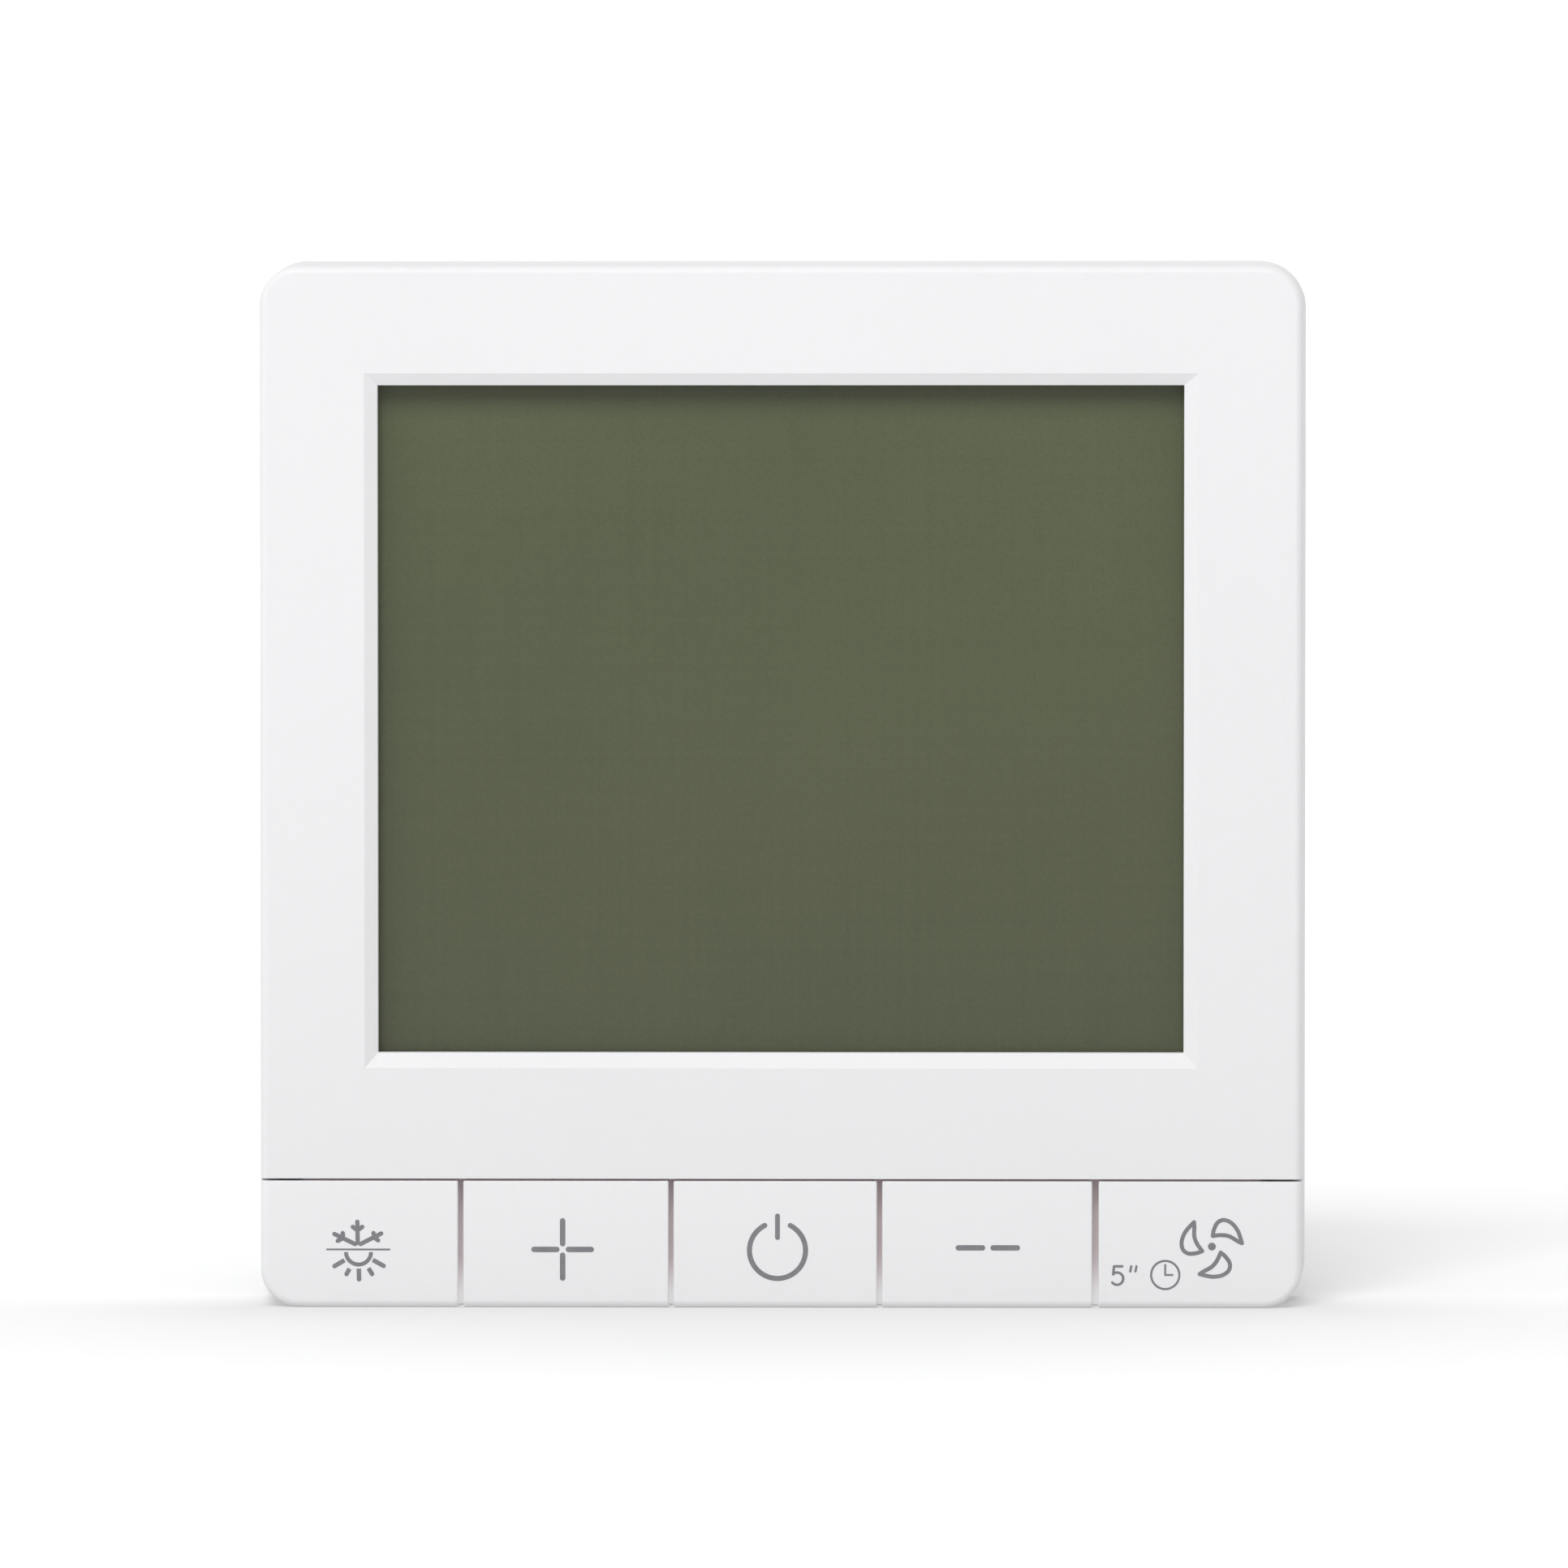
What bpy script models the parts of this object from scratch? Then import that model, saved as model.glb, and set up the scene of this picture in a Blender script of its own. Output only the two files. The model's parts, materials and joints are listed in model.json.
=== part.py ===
"""Wall thermostat for a fan-coil air conditioner, made for a 60 mm pitch wall box.

Two assemblies: a wall unit (steel plate with the in-wall power case) and a front unit that
clips over it (cover, five keys, LCD, control board). All sizes below are in millimetres.
+X is to the right seen from the front, +Z is up, and the front faces -Y. The wall is y = 0.
"""

import math

import bmesh
import bpy

MM = 0.001
GAP = 0.05  # between parts that rest on each other
OVER = 1.0  # how far a cutter runs past the face it cuts
KEEP, JOIN, CUT = "INTERSECT", "UNION", "DIFFERENCE"

# ---- the visible body -------------------------------------------------------------------
BACK_SIZE = 86.0  # outline at the wall
FRONT_SIZE = 84.5  # outline at the front
DEPTH = 13.3  # front face to wall
FRONT_Y = -DEPTH
RIM_Y = -0.15  # rear rim of the cover
TAPER = (BACK_SIZE - FRONT_SIZE) / 2 / DEPTH  # outward lean of the side walls
CORNER_R = 3.1  # corner radius at the front
EDGE_R = 0.6  # rounding between the front face and the side walls
WALL = 1.8
CORNER_STEPS = 7
EDGE_STEPS = 4

# ---- the window and the liquid crystal display ------------------------------------------
WINDOW = (-32.75, 32.7, -21.55, 32.63)  # x0, x1, z0, z1 of the opening
CHAMFER = (1.05, 1.15, 1.25, 0.95)  # width of its slope: left, right, below, above
CHAMFER_DEPTH = 0.5
PLATE_T = 1.8  # front wall of the cover
LCD_Y = FRONT_Y + 2.0  # front of the display
POLARISER_T = 0.2
GLASS_T = 1.1
GLASS = (-34.7, 34.7, -26.9, 34.9)  # front glass; its lower ledge carries the contacts
CELL_BOTTOM = -24.0  # lower edge of the rear glass
GUIDE_T = 1.95
FRAME_WALL = 1.0
FRAME_FLOOR = 0.4

# ---- the keys ---------------------------------------------------------------------------
KEY_NAMES = ("mode", "plus", "power", "minus", "fan")
KEY_GAPS_X = (-26.02, -8.92, 8.02, 25.54)  # middle of the gap between two keys
KEY_GAP_W = (0.43, 0.41, 0.42, 0.52)
COVER_BOTTOM = -31.78  # lower edge of the cover's front face
KEY_TOP = -31.96
KEY_T = 2.2
KEY_TRAVEL = 0.4
POST_X = (-33.6, -17.47, -0.45, 16.76, 33.6)
POST_Z = -36.6
POST_R = 1.5
DECK_FRONT = FRONT_Y + KEY_T + KEY_TRAVEL + 0.1  # the shelf behind the keys
DECK_T = 1.0
DECK_REAR = DECK_FRONT + DECK_T
SHELF_TOP = -30.4
LEG_X = 5.2  # snap legs, either side of the post
LEG_W = 1.2
LEG_H = 3.0
BARB = 0.8

# ---- the control board ------------------------------------------------------------------
BOARD_FRONT = -5.9
BOARD_T = 1.6
BOARD_REAR = BOARD_FRONT + BOARD_T
BOARD_HALF = 40.2
BOSSES = ((-38.0, 38.0), (38.0, 38.0), (-38.2, -26.0), (38.2, -26.0))
BOSS_R = 1.9
SCREW_R = 0.95
SWITCH_SIDE = 6.0
SWITCH_H = 3.4
STEM_R = 1.7
SWITCH_FRONT = BOARD_FRONT - GAP - SWITCH_H
STEM_TIP = SWITCH_FRONT - 0.85
STEM_LENGTH = 1.45
SOCKET_Z = 10.0
PIN_PITCH = 2.54
PIN_COUNT = 8
PIN_SIDE = 0.64

# ---- rear cover and wall plate ----------------------------------------------------------
REAR_COVER_FRONT = -2.45
REAR_COVER_T = 1.2
REAR_COVER_HALF = 40.85
PLATE_HALF = 40.3
STEEL_T = 1.0
FIXING_X = 30.0  # wall box screws, 60 mm apart
SLOT_LENGTH = 9.5
SLOT_WIDTH = 5.0
TAB_X = 22.0
TAB_Z = 37.5
TAB_W = 6.0
TAB_REACH = 3.8

# ---- the in-wall power case -------------------------------------------------------------
CASE_HALF_X = 25.0
CASE_HALF_Z = 26.0
CASE_FRONT = 0.3
CASE_REAR = 24.3
CASE_WALL = 1.6
CASE_BOSSES = ((-21.4, 22.4), (21.4, 22.4), (-21.4, -22.4), (21.4, -22.4))
CASE_BOSS_R = 2.3
POWER_BOARD_FRONT = 3.0
POWER_BOARD_REAR = POWER_BOARD_FRONT + BOARD_T
PARTS_Y = POWER_BOARD_REAR + GAP  # where the power board's parts stand
WAYS = 7  # terminals
WAY_PITCH = 5.08
TERMINAL_Z = (-24.2, -14.2)
TERMINAL_REAR = 21.6
RELAY = (10.2, 15.2, 18.4)  # x, y, z


# ---- materials --------------------------------------------------------------------------
def material(name, colour, roughness, metallic=0.0):
    made = bpy.data.materials.new(name)
    made.use_nodes = True
    shader = made.node_tree.nodes["Principled BSDF"]
    shader.inputs["Base Color"].default_value = (*colour, 1.0)
    shader.inputs["Roughness"].default_value = roughness
    shader.inputs["Metallic"].default_value = metallic
    made.diffuse_color = (*colour, 1.0)
    return made


# ---- shapes: each returns a function that adds closed geometry to a bmesh -----------------
def loft(rings):
    """A closed skin through rings of equal length, each a list of (x, y, z)."""

    def add(bm):
        loops = [[bm.verts.new([c * MM for c in p]) for p in ring] for ring in rings]
        count = len(loops[0])
        for first, second in zip(loops, loops[1:]):
            for i in range(count):
                j = (i + 1) % count
                bm.faces.new((first[i], first[j], second[j], second[i]))
        bm.faces.new(loops[0][::-1])
        bm.faces.new(loops[-1])

    return add


def prism(outline, y0, y1):
    """An outline of (x, z) points, extruded along Y."""
    return loft([[(x, y, z) for x, z in outline] for y in (y0, y1)])


def box(x0, x1, y0, y1, z0, z1):
    return prism([(x0, z0), (x1, z0), (x1, z1), (x0, z1)], y0, y1)


def arc(cx, cz, radius, start, end, steps):
    """Points (x, z) on an arc, angles in degrees."""
    angles = [math.radians(start + (end - start) * k / steps) for k in range(steps + 1)]
    return [(cx + radius * math.cos(a), cz + radius * math.sin(a)) for a in angles]


def rod(x, z, radius, y0, y1, sides=16):
    return prism(arc(x, z, radius, 0, 360 - 360 / sides, sides - 1), y0, y1)


def cone(x, z, rings, sides=16):
    """A turned shape along Y through (y, radius) pairs."""
    step = 360 / sides
    return loft([[(px, y, pz) for px, pz in arc(x, z, r, 0, 360 - step, sides - 1)] for y, r in rings])


def rounded(x0, x1, z0, z1, radius, steps=CORNER_STEPS):
    """A rectangle with rounded corners, as (x, z) points."""
    return (
        arc(x1 - radius, z1 - radius, radius, 0, 90, steps)
        + arc(x0 + radius, z1 - radius, radius, 90, 180, steps)
        + arc(x0 + radius, z0 + radius, radius, 180, 270, steps)
        + arc(x1 - radius, z0 + radius, radius, 270, 360, steps)
    )


def body_ring(y, inset=0.0):
    """The body's outline at depth y, moved inwards by inset."""
    grown = TAPER * (y - FRONT_Y) - inset
    half = FRONT_SIZE / 2 + grown
    return [(x, y, z) for x, z in rounded(-half, half, -half, half, CORNER_R + grown)]


def body_shape(rear_y):
    """The whole outer body from the front face, with its rounded edge, back to rear_y."""
    rings = []
    for k in range(EDGE_STEPS + 1):
        turn = math.radians(90 * k / EDGE_STEPS)
        rings.append(body_ring(FRONT_Y + EDGE_R * (1 - math.cos(turn)), EDGE_R * (1 - math.sin(turn))))
    return loft(rings + [body_ring(rear_y)])


# ---- objects ----------------------------------------------------------------------------
def mesh_of(name, shapes, smooth=True):
    bm = bmesh.new()
    for shape in shapes:
        shape(bm)
    bmesh.ops.recalc_face_normals(bm, faces=bm.faces)
    mesh = bpy.data.meshes.new(name)
    bm.to_mesh(mesh)
    bm.free()
    if smooth:
        mesh.shade_smooth()
        mesh.set_sharp_from_angle(angle=math.radians(30))
    return mesh


def group(name, parent=None, at=(0, 0, 0)):
    """An empty that the pieces of one rigid assembly hang on."""
    empty = bpy.data.objects.new(name, None)
    empty.location = [c * MM for c in at]
    empty.parent = parent
    bpy.context.scene.collection.objects.link(empty)
    return empty


def helper(owner, shapes, operation, number):
    """A hidden shape in the owner's own coordinates, and the Boolean that uses it."""
    name = f"{owner.name}_{operation.lower()}_{number}"
    tool = bpy.data.objects.new(name, mesh_of(name, shapes, smooth=False))
    tool.hide_render = True
    tool.display_type = "WIRE"
    tool.parent = owner
    bpy.context.scene.collection.objects.link(tool)
    modifier = owner.modifiers.new(name, "BOOLEAN")
    modifier.operation = operation
    modifier.object = tool


def piece(name, parent, look, shape, steps=(), at=(0, 0, 0)):
    """One solid: a first shape, then steps of (KEEP, JOIN or CUT, shapes that don't touch each other)."""
    obj = bpy.data.objects.new(name, mesh_of(name, [shape]))
    obj.data.materials.append(look)
    obj.location = [c * MM for c in at]
    obj.parent = parent
    bpy.context.scene.collection.objects.link(obj)
    for number, (operation, shapes) in enumerate(steps):
        helper(obj, shapes, operation, number)


def row(count, pitch):
    """Places of count items, pitch apart, centred on 0."""
    return [(i - (count - 1) / 2) * pitch for i in range(count)]


# ---- front unit: cover and keys -----------------------------------------------------------
def window_shape():
    """The opening with its sloping sides, run out past the front face."""
    x0, x1, z0, z1 = WINDOW
    left, right, below, above = CHAMFER
    outwards = (CHAMFER_DEPTH + OVER) / CHAMFER_DEPTH

    def ring(y, share):
        x_low, x_high = x0 - left * share, x1 + right * share
        z_low, z_high = z0 - below * share, z1 + above * share
        return [(x_low, y, z_low), (x_high, y, z_low), (x_high, y, z_high), (x_low, y, z_high)]

    slope_end = FRONT_Y + CHAMFER_DEPTH
    return loft([ring(FRONT_Y - OVER, outwards), ring(slope_end, 0), ring(FRONT_Y + PLATE_T + OVER, 0)])


def key_edges():
    """(left, right) of each key; the outer two run out past the body."""
    past = BACK_SIZE
    lefts = [-past] + [x + w / 2 for x, w in zip(KEY_GAPS_X, KEY_GAP_W)]
    rights = [x - w / 2 for x, w in zip(KEY_GAPS_X, KEY_GAP_W)] + [past]
    return list(zip(lefts, rights))


def deck_holes():
    """Holes in the shelf for each key's post and snap legs."""
    holes = []
    clear = 0.35
    for x in POST_X:
        y0, y1 = DECK_FRONT - OVER, DECK_REAR + OVER
        holes.append(box(x - 2.2, x + 2.2, y0, y1, POST_Z - 2.2, POST_Z + 2.2))
        for side in (-1, 1):
            middle = x + side * LEG_X
            half_x, half_z = LEG_W / 2 + clear, LEG_H / 2 + clear
            holes.append(box(middle - half_x, middle + half_x, y0, y1, POST_Z - half_z, POST_Z + half_z))
    return holes


def front_cover(parent, look):
    plate_rear = FRONT_Y + PLATE_T
    inner = FRONT_SIZE / 2 + TAPER * PLATE_T - WALL
    lower_cavity = loft([body_ring(DECK_REAR, WALL), body_ring(RIM_Y + OVER, WALL)])
    upper_outline = [(-inner, SHELF_TOP), (inner, SHELF_TOP)]
    upper_outline += arc(inner - CORNER_R / 2, inner - CORNER_R / 2, CORNER_R / 2, 0, 90, CORNER_STEPS)
    upper_outline += arc(CORNER_R / 2 - inner, inner - CORNER_R / 2, CORNER_R / 2, 90, 180, CORNER_STEPS)
    upper_cavity = prism(upper_outline, plate_rear, DECK_REAR + OVER)
    key_space = box(-BACK_SIZE, BACK_SIZE, FRONT_Y - OVER, DECK_FRONT, -BACK_SIZE, COVER_BOTTOM)
    bosses = [rod(x, z, BOSS_R, plate_rear - 0.4, BOARD_FRONT - GAP, 14) for x, z in BOSSES]
    pilots = [rod(x, z, SCREW_R + 0.1, BOARD_FRONT - 3.6, BOARD_FRONT + OVER, 10) for x, z in BOSSES]
    catch_rear = REAR_COVER_FRONT + REAR_COVER_T + 0.1
    catches = [
        box(*sorted((side * 40.6, side * 42.0)), catch_rear, RIM_Y - 0.1, z - 3, z + 3)
        for side in (-1, 1)
        for z in (-20, 20)
    ]
    vents = [box(x - 0.6, x + 0.6, -8.0, -3.2, -BACK_SIZE / 2 - OVER, -40) for x in row(11, 3.2)]
    pry_notch = box(-5, 5, -1.3, OVER, -BACK_SIZE / 2 - OVER, -40)
    steps = [(CUT, [shape]) for shape in (lower_cavity, upper_cavity, window_shape(), key_space, pry_notch)]
    steps += [(CUT, deck_holes()), (CUT, vents), (JOIN, bosses), (CUT, pilots), (JOIN, catches)]
    piece("front_cover", parent, look, body_shape(RIM_Y), steps)


def moved(shape, x, y, z):
    def add(bm):
        before = set(bm.verts)
        shape(bm)
        for vertex in set(bm.verts) - before:
            vertex.co.x += x * MM
            vertex.co.y += y * MM
            vertex.co.z += z * MM

    return add


def key(parent, name, edges, post_x, look):
    """One keycap with its post and two snap legs, about the point where the post's axis meets the face."""
    to_post = (-post_x, -FRONT_Y, -POST_Z)

    rear = FRONT_Y + KEY_T
    left, right = edges
    post = rod(post_x, POST_Z, POST_R, rear - 0.5, STEM_TIP - GAP, 12)
    legs = []
    for side in (-1, 1):
        middle = post_x + side * LEG_X
        x0, x1 = middle - LEG_W / 2, middle + LEG_W / 2
        z0, z1 = POST_Z - LEG_H / 2, POST_Z + LEG_H / 2
        barb_front = DECK_REAR + 0.1
        outer = (x1, x1 + BARB) if side > 0 else (x0 - BARB, x0)
        y0, y1 = rear - 0.5, barb_front + 0.9
        face, tip = (outer[0], outer[1]) if side > 0 else (outer[1], outer[0])
        back = x0 if side > 0 else x1
        ring = [(back, y0), (face, y0), (face, barb_front), (tip, barb_front), (face, y1), (back, y1)]
        legs.append(loft([[(x, y, z) for x, y in ring] for z in (z0, z1)]))
    limits = box(left, right, FRONT_Y - OVER, rear + OVER, -BACK_SIZE, KEY_TOP)
    steps = [(KEEP, [moved(limits, *to_post)]), (JOIN, [moved(shape, *to_post) for shape in [post] + legs])]
    piece(name, parent, look, moved(body_shape(rear), *to_post), steps)


# ---- front unit: display ------------------------------------------------------------------
def display(parent, looks):
    x0, x1, z0, z1 = GLASS
    y = LCD_Y
    film = (x0 + 0.6, x1 - 0.6, y, y + POLARISER_T, CELL_BOTTOM + 0.6, z1 - 0.6)
    piece("lcd_front_polariser", parent, looks["polariser"], box(*film))
    y += POLARISER_T + GAP
    piece("lcd_front_glass", parent, looks["glass"], box(x0, x1, y, y + GLASS_T, z0, z1))
    contact_y = y + GLASS_T + GAP
    y = contact_y
    piece("lcd_rear_glass", parent, looks["glass"], box(x0, x1, y, y + GLASS_T, CELL_BOTTOM, z1))
    y += GLASS_T + GAP
    film = (x0 + 0.6, x1 - 0.6, y, y + POLARISER_T, CELL_BOTTOM + 0.6, z1 - 0.6)
    piece("lcd_rear_polariser", parent, looks["reflector"], box(*film))
    y += POLARISER_T + 2 * GAP
    outline = rounded(x0 + 1.7, x1 - 1.7, CELL_BOTTOM + 0.2, z1, 0.8, 3)
    piece("light_guide", parent, looks["acrylic"], prism(outline, y, y + GUIDE_T))
    strip = (z0 + 0.2, z0 + 2.2)
    piece("zebra_strip", parent, looks["rubber"], box(-33, 33, contact_y, BOARD_FRONT - GAP, *strip))
    led_x = (x1 - 1.6, x1 - 0.1)
    led_z = (3.5, 6.7)
    board = BOARD_FRONT - GAP
    for side, name in ((-1, "left"), (1, "right")):
        span = sorted((side * led_x[0], side * led_x[1]))
        mouth = sorted((side * (led_x[0] - OVER), side * (led_x[0] + 0.4)))
        cup = box(*mouth, board - 1.7, board - 0.5, led_z[0] + 0.5, led_z[1] - 0.5)
        shape = box(*span, board - 2.0, board, *led_z)
        piece(f"backlight_led_{name}", parent, looks["led"], shape, [(CUT, [cup])])
    inner = (x0 - 0.3, x1 + 0.3, z0 - 0.4, z1 + 0.3)
    outer = (inner[0] - FRAME_WALL, inner[1] + FRAME_WALL, inner[2] - FRAME_WALL, inner[3] + FRAME_WALL)
    floor = board - FRAME_FLOOR
    tray = box(inner[0], inner[1], LCD_Y - OVER, floor, inner[2], inner[3])
    openings = [box(-33.3, 33.3, floor - OVER, board + OVER, strip[0] - 0.3, strip[1] + 0.3)]
    for side in (-1, 1):
        span = sorted((side * (led_x[0] - 0.2), side * (led_x[1] + 0.2)))
        openings.append(box(*span, floor - OVER, board + OVER, led_z[0] - 0.3, led_z[1] + 0.3))
    shape = prism(rounded(*outer, 0.8, 3), LCD_Y + 0.1, board)
    piece("lcd_frame", parent, looks["white_inner"], shape, [(CUT, [tray]), (CUT, openings)])


# ---- front unit: control board --------------------------------------------------------------
def tact_switch(parent, key_group, name, x, looks):
    half = SWITCH_SIDE / 2
    board = BOARD_FRONT - GAP
    leads = []
    for side in (-1, 1):
        span = sorted((POST_Z + side * (half - 0.2), POST_Z + side * (half + 0.55)))
        leads += [box(x + p - 0.4, x + p + 0.4, board - 0.2, board, *span) for p in (-2.2, 2.2)]
    outline = rounded(x - half, x + half, POST_Z - half, POST_Z + half, 0.5, 2)
    well = rod(x, POST_Z, STEM_R + 0.3, SWITCH_FRONT - OVER, SWITCH_FRONT + 1.15, 14)
    steps = [(JOIN, leads), (CUT, [well])]
    piece(f"switch_base_{name}", parent, looks["switch"], prism(outline, SWITCH_FRONT, board), steps)
    stem = rod(0, 0, STEM_R, 0, STEM_LENGTH, 14)
    piece(f"switch_stem_{name}", key_group, looks["stem"], stem, (), (0, STEM_TIP - FRONT_Y, 0))


def microcontroller(parent, x, z, look):
    board = BOARD_REAR + GAP
    half = 5.0
    leads = []
    for side in (-1, 1):
        span = sorted((side * (half - 0.3), side * (half + 1.0)))
        for p in row(9, 1.0):
            leads.append(box(x + p - 0.22, x + p + 0.22, board, board + 0.25, z + span[0], z + span[1]))
            leads.append(box(x + span[0], x + span[1], board, board + 0.25, z + p - 0.22, z + p + 0.22))
    outline = [(x - half, z - half), (x + half - 0.8, z - half), (x + half, z - half + 0.8)]
    outline += [(x + half, z + half), (x - half, z + half)]
    body = prism(outline, board + 0.1, board + 1.5)
    piece("microcontroller", parent, look, body, [(JOIN, leads)])


def control_board(parent, looks):
    half = BOARD_HALF
    holes = [rod(x, z, SCREW_R + 0.25, BOARD_FRONT - OVER, BOARD_REAR + OVER, 12) for x, z in BOSSES]
    plate = prism(rounded(-half, half, -half, half, 1.5, 3), BOARD_FRONT, BOARD_REAR)
    piece("control_board", parent, looks["board"], plate, [(CUT, holes)])
    head = BOARD_REAR + GAP
    for number, (x, z) in enumerate(BOSSES, 1):
        profile = [(head + 1.4, 1.3), (head + 1.1, 1.85), (head, 1.95), (head, SCREW_R)]
        profile += [(BOARD_FRONT - 2.9, SCREW_R), (BOARD_FRONT - 3.4, 0.3)]
        recess = [
            box(x - 1.1, x + 1.1, head + 0.75, head + 2, z - 0.2, z + 0.2),
            box(x - 0.2, x + 0.2, head + 0.75, head + 2, z - 1.1, z + 1.1),
        ]
        steps = [(CUT, [shape]) for shape in recess]
        piece(f"board_screw_{number}", parent, looks["screw"], cone(x, z, profile, 14), steps)
    microcontroller(parent, -11.0, -9.0, looks["chip"])
    x, y, z = 31.5, BOARD_REAR + 1.0, -38.3
    profile = [(y - 0.8, 0.3), (y - 0.5, 0.7), (y, 0.9), (y + 0.4, 0.75), (y + 0.65, 0.3)]
    across = box(x - 1.6, x + 1.6, y - 0.15, y + 0.2, z - 0.15, z + 0.15)
    legs = [box(x + p - 0.2, x + p + 0.2, BOARD_REAR + GAP, y + 0.1, z - 0.2, z + 0.2) for p in (-1.5, 1.5)]
    steps = [(JOIN, [across]), (JOIN, legs)]
    piece("thermistor", parent, looks["thermistor"], cone(x, z, profile, 12), steps)
    half_x = PIN_COUNT * PIN_PITCH / 2 + 0.1
    y0, y1 = BOARD_REAR + GAP, -1.05
    wells = [
        box(p - 0.5, p + 0.5, y0 + 0.4, y1 + OVER, SOCKET_Z - 0.5, SOCKET_Z + 0.5)
        for p in row(PIN_COUNT, PIN_PITCH)
    ]
    block = box(-half_x, half_x, y0, y1, SOCKET_Z - 1.3, SOCKET_Z + 1.3)
    piece("board_socket", parent, looks["header"], block, [(CUT, wells)])


def rear_cover(parent, look):
    half = REAR_COVER_HALF
    y0, y1 = REAR_COVER_FRONT, REAR_COVER_FRONT + REAR_COVER_T
    through = (y0 - OVER, y1 + OVER)
    fixings = [rod(s * FIXING_X, 0, 5.4, *through, 20) for s in (-1, 1)]
    tabs = [
        box(sx * TAB_X - 3.4, sx * TAB_X + 3.4, *through, sz * TAB_Z - 0.9, sz * TAB_Z + 0.9)
        for sx in (-1, 1)
        for sz in (-1, 1)
    ]
    socket = box(-11.0, 11.0, *through, SOCKET_Z - 2.0, SOCKET_Z + 2.0)
    vents = [box(x - 0.7, x + 0.7, *through, -34.5, -28.5) for x in row(9, 3.4)]
    supports = [rod(x, -33.0, 1.2, BOARD_REAR + 0.1, y0 + 0.4, 10) for x in (-25.5, -8.9, 8.0, 25.5)]
    plate = prism(rounded(-half, half, -half, half, 1.6, 4), y0, y1)
    piece("rear_cover", parent, look, plate, [(JOIN, supports), (CUT, fixings + tabs + [socket] + vents)])


# ---- wall unit ------------------------------------------------------------------------------
def mounting_plate(parent, looks):
    half = PLATE_HALF
    tabs = [
        box(x - TAB_W / 2, x + TAB_W / 2, -TAB_REACH, -STEEL_T + 0.3, z - 0.5, z + 0.5)
        for x in (-TAB_X, TAB_X)
        for z in (-TAB_Z, TAB_Z)
    ]
    through = (-STEEL_T - OVER, OVER)
    aperture = box(-18.5, 18.5, *through, -19.5, 19.5)
    end = (SLOT_LENGTH - SLOT_WIDTH) / 2
    slots = [
        prism(
            arc(s * FIXING_X + end, 0, SLOT_WIDTH / 2, -90, 90, 8)
            + arc(s * FIXING_X - end, 0, SLOT_WIDTH / 2, 90, 270, 8),
            *through,
        )
        for s in (-1, 1)
    ]
    profile = [(-STEEL_T - 0.5, 2.95), (-STEEL_T, 2.45), (0, 1.45), (OVER, 1.45)]
    sinks = [cone(x, z, profile, 14) for x, z in CASE_BOSSES]
    plate = prism(rounded(-half, half, -half, half, 2.6, 5), -STEEL_T, 0)
    steps = [(JOIN, tabs), (CUT, [aperture] + slots + sinks)]
    piece("mounting_plate", parent, looks["steel"], plate, steps)
    flush = -STEEL_T + 0.05
    for number, (x, z) in enumerate(CASE_BOSSES, 1):
        shape = cone(x, z, [(flush, 2.2), (-0.05, 1.1), (6.0, 1.05), (6.8, 0.3)], 14)
        slot = box(x - 1.3, x + 1.3, flush - OVER, flush + 0.5, z - 0.25, z + 0.25)
        piece(f"case_screw_{number}", parent, looks["screw"], shape, [(CUT, [slot])])


def power_case(parent, looks):
    """The case, open at the front, with a bay for the wires below its rear wall."""
    hx, hz = CASE_HALF_X, CASE_HALF_Z
    rear_inner = CASE_REAR - CASE_WALL
    bosses = [rod(x, z, CASE_BOSS_R, CASE_FRONT + 0.15, rear_inner + 0.5, 14) for x, z in CASE_BOSSES]
    pilots = [rod(x, z, 1.3, CASE_FRONT - OVER, 8.5, 12) for x, z in CASE_BOSSES]
    ribs = []
    for side in (-1, 1):
        span = sorted((side * 21.9, side * (hx - 0.8)))
        ribs.append(box(*span, POWER_BOARD_REAR + 0.1, rear_inner + 0.5, -3, 3))
    terminal_space = box(-18.3, 18.3, 8.5, CASE_REAR + OVER, -hz - OVER, TERMINAL_Z[1] + 0.5)
    vents = [box(x - 0.8, x + 0.8, rear_inner - OVER, CASE_REAR + OVER, -6, 16) for x in row(9, 4.2)]
    outer = rounded(-hx, hx, -hz, hz, 2.0, 4)
    inner = rounded(-hx + CASE_WALL, hx - CASE_WALL, -hz + CASE_WALL, hz - CASE_WALL, 0.8, 3)
    steps = [(CUT, [prism(inner, CASE_FRONT - OVER, rear_inner)]), (CUT, vents), (JOIN, bosses + ribs)]
    steps += [(CUT, pilots), (CUT, [terminal_space])]
    piece("power_case", parent, looks["case"], prism(outer, CASE_FRONT, CASE_REAR), steps)


def case_sheet(parent, name, look, y0, y1, openings):
    """A flat sheet that fills the power case between its corner bosses."""
    half_x, half_z = CASE_HALF_X - CASE_WALL - 0.4, CASE_HALF_Z - CASE_WALL - 0.4
    corner = 5.2
    notches = []
    for side in (-1, 1):
        span = sorted((side * (half_x - corner), side * (half_x + OVER)))
        for z0, z1 in ((-half_z - OVER, corner - half_z), (half_z - corner, half_z + OVER)):
            notches.append(box(*span, y0 - OVER, y1 + OVER, z0, z1))
    piece(name, parent, look, box(-half_x, half_x, y0, y1, -half_z, half_z), [(CUT, notches + openings)])


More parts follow.
